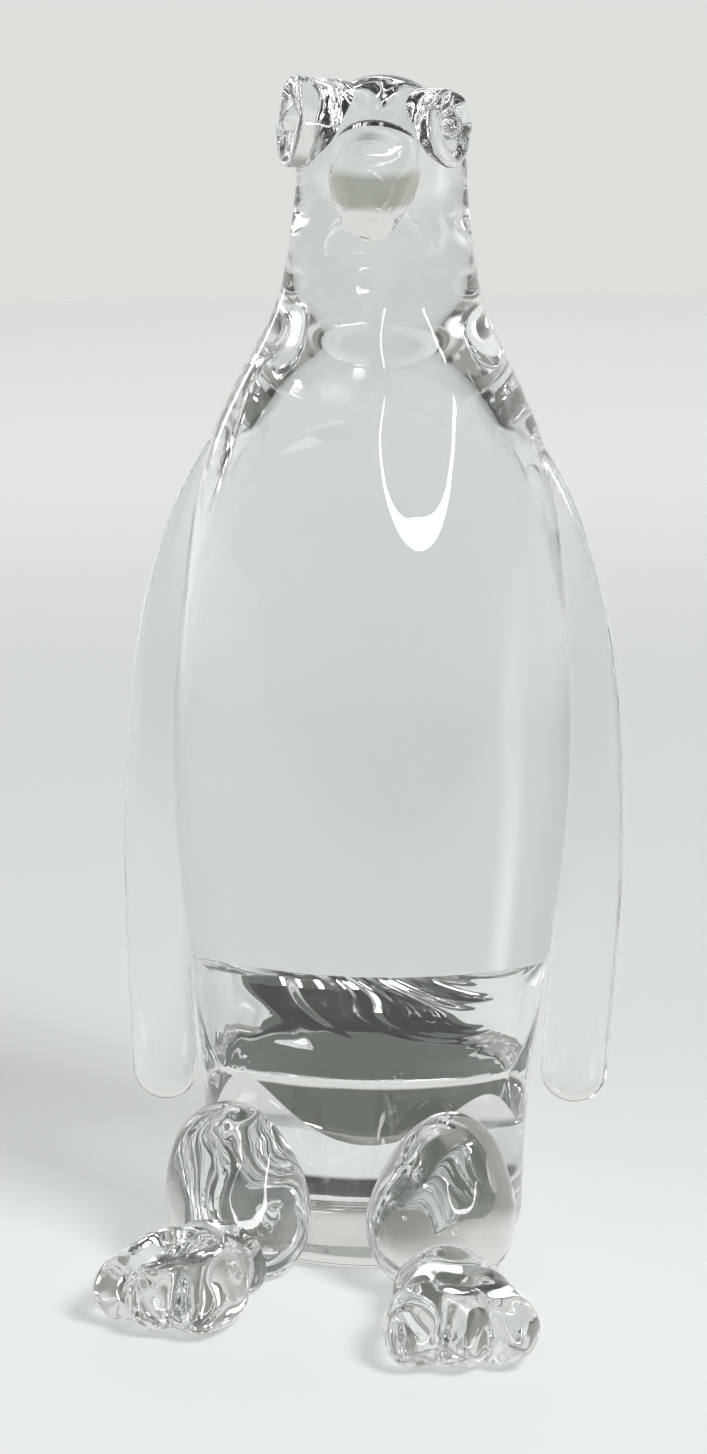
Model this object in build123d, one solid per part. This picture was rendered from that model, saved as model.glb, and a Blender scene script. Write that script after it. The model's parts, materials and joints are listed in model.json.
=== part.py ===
"""Clear glass penguin figurine, hot-worked from separate gathers of glass.

A solid body is turned on the iron, a head is dropped on its neck, and the beak, eyes, flippers,
legs, feet and tail are smaller bits of hot glass stuck on while the body is still soft. Every bit
seats face to face on the gather that carries it.

Millimetres. +Z is up, the figure faces -Y, and the origin is the middle of the ground base.
Left and right are the figure's own sides: its left is +X.
"""

from build123d import *

import os
from math import radians, tan

# Body gather, turned round +Z. Each height is measured from the station below it.
BASE_RADIUS = 19.2
BASE_ROUNDING = 1.4
HIP_HEIGHT = 14.0
HIP_RADIUS = 20.9
HIP_TO_BELLY = 45.0
BELLY_RADIUS = 25.4
BELLY_TO_CHEST = 29.0
CHEST_RADIUS = 24.0
CHEST_TO_SHOULDER = 17.0
SHOULDER_RADIUS = 20.6
SHOULDER_TO_NECK = 18.0
SHOULDER_SLOPE = 24.0
NECK_RADIUS = 12.2
NECK_GROOVE = 0.6

# Head gather, dropped on the neck
NECK_TO_CROWN = 15.5
HEAD_RADIUS = 10.6
CROWN_HEIGHT = 11.5

# Beak: a blunt cone with a sheared tip
BEAK_ABOVE_NECK = 16.0
BEAK_DROP = 32.0
BEAK_TURN = 4.0
BEAK_RADIUS = 5.6
BEAK_LENGTH = 9.0
BEAK_TIP_RADIUS = 2.9
BEAK_TIP_ROUNDING = 0.7

# Eyes: a pressed button on each side of the crown, with a bead. The girth share is over the head's radius.
EYE_ABOVE_NECK = 20.0
EYE_GIRTH_SHARE = 0.915
EYE_TURN = 24.0
EYE_TILT = 8.0
LEFT_EYE_RADIUS = 4.9
RIGHT_EYE_RADIUS = 5.6
LEFT_EYE_PROUD = 0.6
RIGHT_EYE_PROUD = 2.5
EYE_ROUNDING = 1.1
PUPIL_RADIUS = 1.5
PUPIL_SINK = 0.5

# Flippers: flat blades down both sides, free of the body at the tip
FLIPPER_BELLY_WIDTH = 7.0
FLIPPER_CHEST_WIDTH = 4.4
FLIPPER_THICKNESS = 3.0
FLIPPER_ROUNDING = 1.2
LEFT_FLIPPER_TIP_HEIGHT = 17.5
RIGHT_FLIPPER_TIP_HEIGHT = 14.0
FLIPPER_TIP_WIDTH = 8.6
FLIPPER_TIP_GAP = 1.8
FLIPPER_CROTCH_HEIGHT = 42.5
FLIPPER_TIP_FLARE = 3.0
FLIPPER_TOP = 3.5
FLIPPER_TOP_FLARE = 45.0
FLIPPER_SET_BACK = 1.0

# Legs: teardrops that stand in front of the body and lean back on it
LEG_ANGLE = 33.0
LEG_OUT = 2.8
LEG_RADIUS = 9.4
LEG_MIDDLE = 7.0
LEG_UP = 14.5
LEG_LEAN = 12.0
LEFT_LEG_SPLAY = 7.0
RIGHT_LEG_SPLAY = 18.0

# Feet: an instep and three toes each, pressed out in front of the leg and ground flat underneath
FOOT_TURN = 14.0
LEFT_FOOT_REACH = 22.5
RIGHT_FOOT_REACH = 17.5
INSTEP_RADIUS = 6.6
INSTEP_MIDDLE = 2.5
TOE_RADIUS = 5.2
TOE_HALF_LENGTH = 11.0
TOE_OUT = 10.0
TOE_MIDDLE = 3.8
TOE_FAN = 19.0

# Tail: a narrow wedge pulled out of the lower back, a little to the figure's right. Slopes are from level.
TAIL_TURN = 8.2
TAIL_HALF_WIDTH = 4.5
TAIL_HALF_HEIGHT = 19.0
TAIL_HEIGHT = 28.0
TAIL_TIP_HEIGHT = 15.5
TAIL_REACH = 15.0
TAIL_UPPER_SLOPE = 55.0
TAIL_LOWER_SLOPE = 36.0
TAIL_RIDGE_ROUNDING = 1.2

# How far a bit's raw shape runs into its carrier before it is cut back to the seat
SEAT_DEPTH = 4.0

# Share of a quarter oval's radius at which its control points lie
OVAL_PULL = 0.5523

# Where the half section of the body and the head stands, clear of every bit
SEAM_TURN = 130.0

BELLY_HEIGHT = HIP_HEIGHT + HIP_TO_BELLY
CHEST_HEIGHT = BELLY_HEIGHT + BELLY_TO_CHEST
SHOULDER_HEIGHT = CHEST_HEIGHT + CHEST_TO_SHOULDER
NECK_HEIGHT = SHOULDER_HEIGHT + SHOULDER_TO_NECK
CROWN_START = NECK_HEIGHT + NECK_TO_CROWN
TOTAL_HEIGHT = CROWN_START + CROWN_HEIGHT
NECK_SEAT_RADIUS = NECK_RADIUS - NECK_GROOVE
ROOM = 4 * TOTAL_HEIGHT


def turned(*edges):
    """A solid of revolution about +Z, from the edges of a half section in the XZ plane."""
    return revolve(make_face(edges), Axis.Z)


def quarter(height, radius, rise):
    """A quarter of an oval in the XZ plane, from its girth at a height to its pole on the axis."""
    pole = height + rise
    girth_pull = (radius, 0, height + OVAL_PULL * rise)
    return Bezier((radius, 0, height), girth_pull, (OVAL_PULL * radius, 0, pole), (0, 0, pole))


def egg(radius, up, down):
    """An egg of revolution about +Z: its girth is at the origin, its ends are up and down from it."""
    return turned(quarter(0, radius, up), quarter(0, radius, -down), Line((0, 0, up), (0, 0, -down)))


def above_table(solid):
    """What of a solid stands above the table."""
    return solid & Pos(0, 0, ROOM / 2) * Box(ROOM, ROOM, ROOM)


def open_air(solid):
    """The room round a solid."""
    return Box(ROOM, ROOM, ROOM) - solid


def body_radius(height):
    """A radius just inside the body's side, between the hip and the belly."""
    share = (height - HIP_HEIGHT) / HIP_TO_BELLY
    return HIP_RADIUS + share * (BELLY_RADIUS - HIP_RADIUS)


def make_body():
    """The solid gather that everything else is stuck on."""
    edge_radius = BASE_RADIUS + BASE_ROUNDING
    groove_height = NECK_HEIGHT - NECK_GROOVE
    side = Spline(
        (edge_radius, 0, BASE_ROUNDING),
        (HIP_RADIUS, 0, HIP_HEIGHT),
        (BELLY_RADIUS, 0, BELLY_HEIGHT),
        (CHEST_RADIUS, 0, CHEST_HEIGHT),
        (SHOULDER_RADIUS, 0, SHOULDER_HEIGHT),
        (NECK_RADIUS, 0, groove_height),
        tangents=[(0, 0, 1), (-tan(radians(SHOULDER_SLOPE)), 0, 1)],
    )
    return Rot(0, 0, SEAM_TURN) * turned(
        Line((0, 0, 0), (BASE_RADIUS, 0, 0)),
        TangentArc((BASE_RADIUS, 0, 0), (edge_radius, 0, BASE_ROUNDING), tangent=(1, 0, 0)),
        side,
        Line((NECK_RADIUS, 0, groove_height), (NECK_SEAT_RADIUS, 0, NECK_HEIGHT)),
        Line((NECK_SEAT_RADIUS, 0, NECK_HEIGHT), (0, 0, NECK_HEIGHT)),
        Line((0, 0, NECK_HEIGHT), (0, 0, 0)),
    )


def make_head():
    """The head, flared at the neck and domed on top."""
    groove_height = NECK_HEIGHT + NECK_GROOVE
    side = Spline(
        (NECK_RADIUS, 0, groove_height),
        (HEAD_RADIUS, 0, CROWN_START),
        tangents=[(HEAD_RADIUS - NECK_RADIUS, 0, NECK_TO_CROWN), (0, 0, 1)],
    )
    return Rot(0, 0, SEAM_TURN) * turned(
        Line((0, 0, NECK_HEIGHT), (NECK_SEAT_RADIUS, 0, NECK_HEIGHT)),
        Line((NECK_SEAT_RADIUS, 0, NECK_HEIGHT), (NECK_RADIUS, 0, groove_height)),
        side,
        quarter(CROWN_START, HEAD_RADIUS, CROWN_HEIGHT),
        Line((0, 0, TOTAL_HEIGHT), (0, 0, NECK_HEIGHT)),
    )


def make_beak(head):
    """The beak, drawn forward and down from the front of the head."""
    cone_end = BEAK_LENGTH - BEAK_TIP_ROUNDING
    tip_flat = BEAK_TIP_RADIUS - BEAK_TIP_ROUNDING
    raw = turned(
        Line((0, 0, -SEAT_DEPTH), (BEAK_RADIUS, 0, -SEAT_DEPTH)),
        Line((BEAK_RADIUS, 0, -SEAT_DEPTH), (BEAK_RADIUS, 0, 0)),
        Line((BEAK_RADIUS, 0, 0), (BEAK_TIP_RADIUS, 0, cone_end)),
        TangentArc((tip_flat, 0, BEAK_LENGTH), (BEAK_TIP_RADIUS, 0, cone_end), tangent=(1, 0, 0)),
        Line((tip_flat, 0, BEAK_LENGTH), (0, 0, BEAK_LENGTH)),
        Line((0, 0, BEAK_LENGTH), (0, 0, -SEAT_DEPTH)),
    )
    on_head = Pos(0, 0, NECK_HEIGHT + BEAK_ABOVE_NECK) * Rot(0, 0, BEAK_TURN) * Pos(0, -HEAD_RADIUS, 0)
    return on_head * Rot(90 + BEAK_DROP, 0, 0) * raw - head


def left_eye_place(proud):
    """The frame in the middle of the left eye's outer face, with +Z pointing out of the head."""
    middle = Pos(0, 0, NECK_HEIGHT + EYE_ABOVE_NECK) * Rot(0, 0, -EYE_TURN) * Rot(0, 90 - EYE_TILT, 0)
    return middle * Pos(0, 0, EYE_GIRTH_SHARE * HEAD_RADIUS + proud)


def make_left_eye(radius, proud, head):
    """A pressed button of glass on the side of the crown."""
    depth = EYE_GIRTH_SHARE * HEAD_RADIUS + proud - SEAT_DEPTH
    button = Pos(0, 0, -depth / 2) * Cylinder(radius, depth)
    button = fillet(button.edges().group_by(Axis.Z)[-1], EYE_ROUNDING)
    return left_eye_place(proud) * button - head


def make_left_pupil(proud, eye, head):
    """The bead in the middle of an eye."""
    return left_eye_place(proud) * Pos(0, 0, -PUPIL_SINK) * Sphere(PUPIL_RADIUS) - eye - head


def make_left_flipper(tip_height, body):
    """A flat blade down the side of the body, with its lower end free."""
    tip_radius = FLIPPER_TIP_WIDTH / 2
    tip_inside = HIP_RADIUS + FLIPPER_TIP_GAP
    tip_girth = tip_height + tip_radius
    top_height = SHOULDER_HEIGHT + FLIPPER_TOP
    top_radius = SHOULDER_RADIUS - FLIPPER_TOP * tan(radians(SHOULDER_SLOPE)) - SEAT_DEPTH / 2
    crotch = (body_radius(FLIPPER_CROTCH_HEIGHT), 0, FLIPPER_CROTCH_HEIGHT)
    buried_low = (crotch[0] - SEAT_DEPTH, 0, FLIPPER_CROTCH_HEIGHT)
    buried_high = (top_radius - SEAT_DEPTH, 0, top_height)
    top = (top_radius, 0, top_height)
    outer_edge = Spline(
        (tip_inside + FLIPPER_TIP_WIDTH, 0, tip_girth),
        (BELLY_RADIUS + FLIPPER_BELLY_WIDTH, 0, BELLY_HEIGHT),
        (CHEST_RADIUS + FLIPPER_CHEST_WIDTH, 0, CHEST_HEIGHT),
        top,
        tangents=[(tan(radians(FLIPPER_TIP_FLARE)), 0, 1), (-tan(radians(FLIPPER_TOP_FLARE)), 0, 1)],
    )
    tip = ThreePointArc(
        (tip_inside, 0, tip_girth),
        (tip_inside + tip_radius, 0, tip_height),
        (tip_inside + FLIPPER_TIP_WIDTH, 0, tip_girth),
    )
    inner_edge = Line(crotch, (tip_inside, 0, tip_girth))
    buried = Polyline(top, buried_high, buried_low, crotch)
    outline = make_face([tip, outer_edge, *buried.edges(), inner_edge])
    blade = extrude(outline, FLIPPER_THICKNESS / 2, both=True)
    rim = blade.edges().filter_by(Axis.Y, reverse=True)
    free_rim = rim.filter_by(lambda edge: buried.distance_to(edge.center()) > FLIPPER_THICKNESS)
    blade = fillet(free_rim, FLIPPER_ROUNDING)
    return Pos(0, FLIPPER_SET_BACK, 0) * blade - body


def left_leg_place():
    """The frame at the left leg's middle, upright and facing the figure's front."""
    out = Rot(0, 0, LEG_ANGLE) * Pos(0, -HIP_RADIUS - LEG_OUT, LEG_MIDDLE)
    return Pos(*out.position)


def left_leg_form(splay):
    """The left leg's whole teardrop, leaning back, before the table and the body trim it."""
    return left_leg_place() * Rot(-LEG_LEAN, splay, 0) * egg(LEG_RADIUS, LEG_UP, LEG_RADIUS)


def make_left_leg(splay, body):
    """A teardrop that stands in front of the body and leans back on it."""
    return above_table(left_leg_form(splay)) - body


def make_left_foot(reach, splay, body):
    """An instep and three toes, fanned out from a heel that lies against the leg."""
    leg_middle = left_leg_place().position
    heel = Pos(leg_middle.X, leg_middle.Y, 0) * Rot(0, 0, FOOT_TURN) * Pos(0, TOE_OUT - reach, 0)
    foot = heel * Pos(0, 0, INSTEP_MIDDLE) * Sphere(INSTEP_RADIUS)
    for fan in (-TOE_FAN, 0, TOE_FAN):
        toe = Rot(90, 0, 0) * egg(TOE_RADIUS, TOE_HALF_LENGTH, TOE_HALF_LENGTH)
        foot += heel * Rot(0, 0, fan) * Pos(0, -TOE_OUT, TOE_MIDDLE) * toe
    return above_table(foot - left_leg_form(splay)) - body


def make_tail(body):
    """A wedge on the lower back with a level ridge and a rounded outline."""
    run = TAIL_REACH + SEAT_DEPTH
    tip = (run, TAIL_TIP_HEIGHT)
    top = (0, TAIL_TIP_HEIGHT + run * tan(radians(TAIL_UPPER_SLOPE)))
    bottom = (0, TAIL_TIP_HEIGHT - run * tan(radians(TAIL_LOWER_SLOPE)))
    side = make_face(Polyline(bottom, tip, top, close=True))
    ridge = side.vertices().sort_by(Axis.X)[-1]
    side = fillet(ridge, TAIL_RIDGE_ROUNDING)
    wedge = extrude(Plane.YZ * side, TAIL_HALF_WIDTH, both=True)
    outline = extrude(Plane.XZ * Ellipse(TAIL_HALF_WIDTH, TAIL_HALF_HEIGHT), run, both=True)
    tail = wedge & Pos(0, 0, TAIL_HEIGHT) * outline
    root = body_radius(TAIL_TIP_HEIGHT) - SEAT_DEPTH
    return Rot(0, 0, TAIL_TURN) * Pos(0, root, 0) * tail & open_air(body)


def on_the_right(solid):
    """The same piece on the figure's right side."""
    return mirror(solid, about=Plane.YZ)


body = make_body()
head = make_head()
left_eye = make_left_eye(LEFT_EYE_RADIUS, LEFT_EYE_PROUD, head)
right_eye_on_left = make_left_eye(RIGHT_EYE_RADIUS, RIGHT_EYE_PROUD, head)
right_pupil_on_left = make_left_pupil(RIGHT_EYE_PROUD, right_eye_on_left, head)

pieces = {
    "body": body,
    "head": head,
    "beak": make_beak(head),
    "left_eye": left_eye,
    "right_eye": on_the_right(right_eye_on_left),
    "left_pupil": make_left_pupil(LEFT_EYE_PROUD, left_eye, head),
    "right_pupil": on_the_right(right_pupil_on_left),
    "left_flipper": make_left_flipper(LEFT_FLIPPER_TIP_HEIGHT, body),
    "right_flipper": on_the_right(make_left_flipper(RIGHT_FLIPPER_TIP_HEIGHT, body)),
    "left_leg": make_left_leg(LEFT_LEG_SPLAY, body),
    "right_leg": on_the_right(make_left_leg(RIGHT_LEG_SPLAY, body)),
    "left_foot": make_left_foot(LEFT_FOOT_REACH, LEFT_LEG_SPLAY, body),
    "right_foot": on_the_right(make_left_foot(RIGHT_FOOT_REACH, RIGHT_LEG_SPLAY, body)),
    "tail": make_tail(body),
}

os.makedirs("parts", exist_ok=True)
for name, solid in pieces.items():
    export_step(solid, f"parts/{name}.step")
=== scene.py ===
"""Looks of a clear glass penguin figurine, on a pale table in soft studio light.

Each piece is a smooth closed mesh in the CAD model's frame, in metres, and stands for one CAD node.
The glass is fused, so where two pieces meet nothing bends the light: both carry a seam there that is
not seen, and only the outside of the whole figure refracts.
"""

import json
import logging
import math
from contextlib import contextmanager
from dataclasses import dataclass, field, replace
from enum import Enum
from typing import Any, Iterator, Sequence

import bmesh
import bpy
import numpy as np
from mathutils import Matrix, Vector, noise
from mathutils.bvhtree import BVHTree

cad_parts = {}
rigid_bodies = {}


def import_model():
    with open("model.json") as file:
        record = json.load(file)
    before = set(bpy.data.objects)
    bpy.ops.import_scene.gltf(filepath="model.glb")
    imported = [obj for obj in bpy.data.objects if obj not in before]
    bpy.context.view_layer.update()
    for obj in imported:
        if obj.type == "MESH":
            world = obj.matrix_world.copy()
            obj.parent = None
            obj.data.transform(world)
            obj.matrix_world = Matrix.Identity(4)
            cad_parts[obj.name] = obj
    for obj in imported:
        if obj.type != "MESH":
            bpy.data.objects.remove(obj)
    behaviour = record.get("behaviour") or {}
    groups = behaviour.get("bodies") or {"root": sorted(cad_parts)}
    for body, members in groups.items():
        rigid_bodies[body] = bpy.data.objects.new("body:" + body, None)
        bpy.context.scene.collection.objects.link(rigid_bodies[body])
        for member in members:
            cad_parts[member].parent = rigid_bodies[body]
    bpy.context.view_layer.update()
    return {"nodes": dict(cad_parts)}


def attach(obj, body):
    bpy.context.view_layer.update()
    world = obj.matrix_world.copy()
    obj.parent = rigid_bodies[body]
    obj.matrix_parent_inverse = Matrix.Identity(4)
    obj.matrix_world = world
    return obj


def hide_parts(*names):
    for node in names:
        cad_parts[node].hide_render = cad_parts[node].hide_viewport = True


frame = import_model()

LOG = logging.getLogger("penguin")
MM = 0.001
NECK_HEIGHT = 123.0 * MM
# Legs and feet stand flat, so nothing below this height is kneaded.
STANDING = 0.3 * MM
LUMP_SEED = Vector((7.3, 1.9, 4.1))

Piece = bpy.types.Object
Material = bpy.types.Material
Socket = bpy.types.NodeSocket
Shell = bmesh.types.BMesh
Pair = tuple[float, float]
Colour = tuple[float, float, float]
Spot = tuple[float, float, float]


class Side(Enum):
    """The figure's own sides: its left is +X."""

    LEFT = 1
    RIGHT = -1


def both(left: Any, right: Any) -> Any:
    """A dataclass field with a value for each side."""
    return field(default_factory=lambda: {Side.LEFT: left, Side.RIGHT: right})


class Slot(Enum):
    """The record's material slots."""

    GATHER = "gather_glass"
    BIT = "bit_glass"


class Wiring:
    """Short forms for putting nodes in a tree."""

    def __init__(self, tree: bpy.types.NodeTree) -> None:
        """Holds the tree that the nodes go into."""
        self.tree = tree

    def add(self, kind: str, inputs: dict[Any, Any] | None = None, **settings: Any) -> bpy.types.Node:
        """Adds a node.

        Args:
            kind: The node's type name.
            inputs: Sockets by name or index, each with a value or the output that feeds it.
            settings: The node's own properties.

        Returns:
            The new node.
        """
        node = self.tree.nodes.new(kind)
        for name, value in settings.items():
            setattr(node, name, value)
        for key, value in (inputs or {}).items():
            if isinstance(value, Socket):
                self.tree.links.new(value, node.inputs[key])
            else:
                node.inputs[key].default_value = value
        return node

    def math(self, operation: str, *values: Any) -> Socket:
        """Adds a Math node over these values and returns its output."""
        return self.add("ShaderNodeMath", dict(enumerate(values)), operation=operation).outputs[0]

    def mix(self, share: Any, first: Any, second: Any) -> Socket:
        """Adds a mix of two colours.

        Args:
            share: How much of the second colour there is.
            first: A colour or the output that gives it.
            second: The same.

        Returns:
            The mixed colour.
        """
        first, second = ((*c, 1.0) if isinstance(c, tuple) else c for c in (first, second))
        return self.add("ShaderNodeMix", {0: share, 6: first, 7: second}, data_type="RGBA").outputs[2]

    def ramp(self, value: Socket, start: float, end: float, low: float = 0.0, high: float = 1.0,
             smooth: bool = False) -> Socket:
        """Adds a ramp over a value.

        Args:
            value: The output that runs along the ramp.
            start: Where the ramp starts.
            end: Where it ends.
            low: What it gives at its start.
            high: What it gives at its end.
            smooth: Whether it starts and ends softly.

        Returns:
            The ramp's output.
        """
        kind = "SMOOTHSTEP" if smooth else "LINEAR"
        inputs = {0: value, 1: start, 2: end, 3: low, 4: high}
        return self.add("ShaderNodeMapRange", inputs, interpolation_type=kind).outputs[0]

    def part_of(self, vector: Socket, axis: int) -> Socket:
        """Adds a split of a vector and returns its part along an axis."""
        return self.add("ShaderNodeSeparateXYZ", {0: vector}).outputs[axis]

    def surface(self, kind: str, inputs: dict[Any, Any]) -> None:
        """Adds a shader and ends the material in it."""
        self.add("ShaderNodeOutputMaterial", {"Surface": self.add(kind, inputs).outputs[0]})


def bare_material(name: str) -> tuple[Material, Wiring]:
    """Makes a material without nodes.

    Args:
        name: Its name.

    Returns:
        The material and its wiring.
    """
    made = bpy.data.materials.new(name)
    made.use_nodes = True
    made.node_tree.nodes.clear()
    return made, Wiring(made.node_tree)


def new_sockets(tree: bpy.types.NodeTree, way: str, sockets: dict[str, str]) -> None:
    """Gives a node group its named inputs or outputs.

    Args:
        tree: The group.
        way: INPUT or OUTPUT.
        sockets: Socket names with their type names.
    """
    for name, kind in sockets.items():
        tree.interface.new_socket(name, in_out=way, socket_type=kind)


def hand_worked_group() -> bpy.types.NodeTree:
    """Makes the marks that all the hot-worked glass shares: cords in the melt, tool ripple and a faint bloom.

    Returns:
        A shader group with the ripple's height, the melt's tint mask and the surface's bloom.
    """
    tree = bpy.data.node_groups.new("hand_worked", "ShaderNodeTree")
    new_sockets(tree, "INPUT", {"Place": "NodeSocketVector", "Ripple Size": "NodeSocketFloat",
                                "Cord Size": "NodeSocketFloat", "Drawn Out": "NodeSocketFloat"})
    new_sockets(tree, "OUTPUT", {"Height": "NodeSocketFloat", "Cords": "NodeSocketFloat",
                                 "Bloom": "NodeSocketFloat"})
    w = Wiring(tree)
    given = w.add("NodeGroupInput").outputs
    across, back, up = (w.part_of(given["Place"], axis) for axis in range(3))
    up = w.math("DIVIDE", up, given["Drawn Out"])
    drawn = w.add("ShaderNodeCombineXYZ", {0: across, 1: back, 2: up}).outputs[0]
    ripple = w.add("ShaderNodeTexNoise", {"Vector": drawn, "Detail": 1.0,
                                          "Scale": w.math("DIVIDE", 1.0, given["Ripple Size"])})
    cords = w.add("ShaderNodeTexNoise", {"Vector": drawn, "Detail": 2.0, "Distortion": 0.6,
                                         "Scale": w.math("DIVIDE", 1.0, given["Cord Size"])})
    bloom = w.add("ShaderNodeTexNoise", {"Vector": given["Place"], "Detail": 3.0, "Scale": 60.0})
    w.add("NodeGroupOutput", {"Height": ripple.outputs[0], "Cords": cords.outputs[0],
                              "Bloom": bloom.outputs[0]})
    return tree


@dataclass(frozen=True)
class GlassFinish:
    """Fire-polished clear glass.

    Lengths are in metres. The two tints are the clear melt and the cords drawn through it. Between the painted
    shade's heights, where it has them, the glass is tinted darker as painted shade, for the dark view through
    it.
    """

    name: str
    melt: Colour
    cord: Colour
    ripple_size: float
    ripple_depth: float
    cord_size: float
    drawn_out: float
    bloom: float
    ior: float = 1.52
    painted_shade_tint: Colour = (1.0, 1.0, 1.0)
    painted_shade_heights: Pair = (0.0, 0.0)
    painted_shade_edges: Pair = (0.8 * MM, 1.0 * MM)
    bloom_from: Pair = (0.45, 0.8)

    def painted_shade_share(self, w: Wiring, place: Socket) -> Socket:
        """Finds where the glass is tinted darker as painted shade.

        Args:
            w: The material's wiring.
            place: The piece's own coordinates.

        Returns:
            A mask from 0 to 1.
        """
        height = w.part_of(place, 2)
        (low, top), (below, above) = self.painted_shade_heights, self.painted_shade_edges
        return w.math("MULTIPLY", w.ramp(height, low, low + below), w.ramp(height, top, top - above))

    def material(self, marks: bpy.types.NodeTree) -> Material:
        """Makes the material.

        Args:
            marks: The group of hand-worked marks.

        Returns:
            The glass, with plain Transmission and Metallic.
        """
        made, w = bare_material(self.name)
        place = w.add("ShaderNodeTexCoord").outputs["Object"]
        worked = w.add("ShaderNodeGroup", {
            "Place": place, "Ripple Size": self.ripple_size, "Cord Size": self.cord_size,
            "Drawn Out": self.drawn_out}, node_tree=marks).outputs
        colour = w.mix(worked["Cords"], self.melt, self.cord)
        # Painted shade: between two heights the tint turns darker, for the dark view through the glass there.
        if self.painted_shade_heights[1] > self.painted_shade_heights[0]:
            colour = w.mix(self.painted_shade_share(w, place), colour, self.painted_shade_tint)
        bump = w.add("ShaderNodeBump", {"Height": worked["Height"], "Distance": self.ripple_depth,
                                        "Strength": 1.0})
        w.surface("ShaderNodeBsdfPrincipled", {
            "Base Color": colour, "Roughness": w.ramp(worked["Bloom"], *self.bloom_from, 0.0, self.bloom),
            "Normal": bump.outputs[0], "IOR": self.ior, "Transmission Weight": 1.0, "Metallic": 0.0})
        return made


@dataclass(frozen=True)
class SeamFinish:
    """The fused contact between two pieces of one glass, which is not seen."""

    name: str = "fused_seam"

    def material(self) -> Material:
        """Makes the material.

        Returns:
            A material with a plain Alpha of 0.
        """
        made, w = bare_material(self.name)
        w.surface("ShaderNodeBsdfPrincipled", {"Alpha": 0.0, "Base Color": (0.95, 0.97, 0.96, 1.0)})
        return made


@dataclass(frozen=True)
class TableFinish:
    """A pale painted table top. Metres and degrees.

    Other rays than the camera's meet a painted shade of the dim room on its front, and painted caustics where
    the
    glass stands: dark patches of painted shade and bright ones that glow as painted light. The stands are the
    middle, as X and Y of the figure, and the radius of each such place. The table's middle band is a painted
    shade, and its far end is painted lighter against the lamps' falling off.
    """

    turn: float
    name: str = "pale_table"
    # The middle tone is a painted shade band; the far tone is painted lighter against the lamps' falling off.
    near: Colour = (0.78, 0.80, 0.82)
    middle: Colour = (0.70, 0.72, 0.735)
    far: Colour = (0.94, 0.95, 0.97)
    dim: Colour = (0.10, 0.11, 0.10)
    step_back: Pair = (0.0, 0.07)
    fade: Pair = (0.24, 0.50)
    front: Pair = (-0.11, -0.24)
    mottle: Pair = (0.97, 1.0)
    stands: tuple[Spot, ...] = (
        (0.0, 0.0, 18.5 * MM), (-4.0 * MM, 25.0 * MM, 8.0 * MM),
        (12.9 * MM, -19.0 * MM, 7.0 * MM), (-12.9 * MM, -19.0 * MM, 7.0 * MM),
        (17.5 * MM, -38.0 * MM, 7.5 * MM), (-16.0 * MM, -33.0 * MM, 7.5 * MM))
    stand_edge: float = 2.0 * MM
    # Painted caustics under the glass: shaded is painted shade, light and glow are painted light.
    shaded: Colour = (0.03, 0.035, 0.03)
    patch: float = 6.0 * MM
    patch_edge: Pair = (0.50, 0.55)
    patches_from: Pair = (-4.0 * MM, -10.0 * MM)
    light: Colour = (1.0, 1.0, 0.97)
    glow: float = 2.4

    def painted_caustics(self, w: Wiring, place: Socket) -> tuple[Socket, Socket]:
        """Paints caustics where the glass stands: bright patches of painted light and dark ones of painted
        shade.

        Args:
            w: The material's wiring.
            place: The table's own coordinates.

        Returns:
            Where the glass stands, and which of it is painted bright, each from 0 to 1.
        """
        under: Any = 0.0
        for x, y, radius in self.stands:
            spot = turn_about("Z", -self.turn) @ Vector((x, y, 0.0))
            away = w.add("ShaderNodeVectorMath", {0: place, 1: spot}, operation="DISTANCE").outputs["Value"]
            under = w.math("MAXIMUM", under, w.ramp(away, radius, radius - self.stand_edge))
        patches = w.add("ShaderNodeTexNoise", {"Vector": place, "Scale": 1.0 / self.patch, "Detail": 2.0,
                                               "Distortion": 0.8})
        bright = w.ramp(patches.outputs[0], *self.patch_edge, smooth=True)
        return under, w.math("MULTIPLY", bright, w.ramp(w.part_of(place, 1), *self.patches_from))

    def material(self) -> Material:
        """Makes the material.

        Returns:
            The table's material, laid by Object coordinates.
        """
        made, w = bare_material(self.name)
        place = w.add("ShaderNodeTexCoord").outputs["Object"]
        depth = w.part_of(place, 1)
        indirect = w.math("SUBTRACT", 1.0, w.add("ShaderNodeLightPath").outputs["Is Camera Ray"])
        # Painted shade in the middle band, and painted light towards the far end.
        tone = w.mix(w.ramp(depth, *self.step_back, smooth=True), self.near, self.middle)
        tone = w.mix(w.ramp(depth, *self.fade, smooth=True), tone, self.far)
        # Painted shade: the table's front turns dim for other rays than the camera's.
        tone = w.mix(w.math("MULTIPLY", w.ramp(depth, *self.front, smooth=True), indirect), tone, self.dim)
        cloud = w.add("ShaderNodeTexNoise", {"Vector": place, "Scale": 9.0, "Detail": 2.0}).outputs[0]
        tone = w.add("ShaderNodeMix", {0: 1.0, 6: tone, 7: w.ramp(cloud, 0.0, 1.0, *self.mottle)},
                     data_type="RGBA", blend_type="MULTIPLY").outputs[2]
        # Painted caustics for other rays than the camera's: a dark base colour as painted shade, emission as
        # painted light.
        stood_on, bright = self.painted_caustics(w, place)
        under = w.math("MULTIPLY", stood_on, indirect)
        dark = w.math("MULTIPLY", under, w.math("SUBTRACT", 1.0, bright))
        w.surface("ShaderNodeBsdfPrincipled", {
            "Base Color": w.mix(dark, tone, self.shaded), "Roughness": 0.45, "Specular IOR Level": 0.3,
            "Emission Color": (*self.light, 1.0),
            "Emission Strength": w.math("MULTIPLY", w.math("MULTIPLY", under, bright), self.glow)})
        return made


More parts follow.
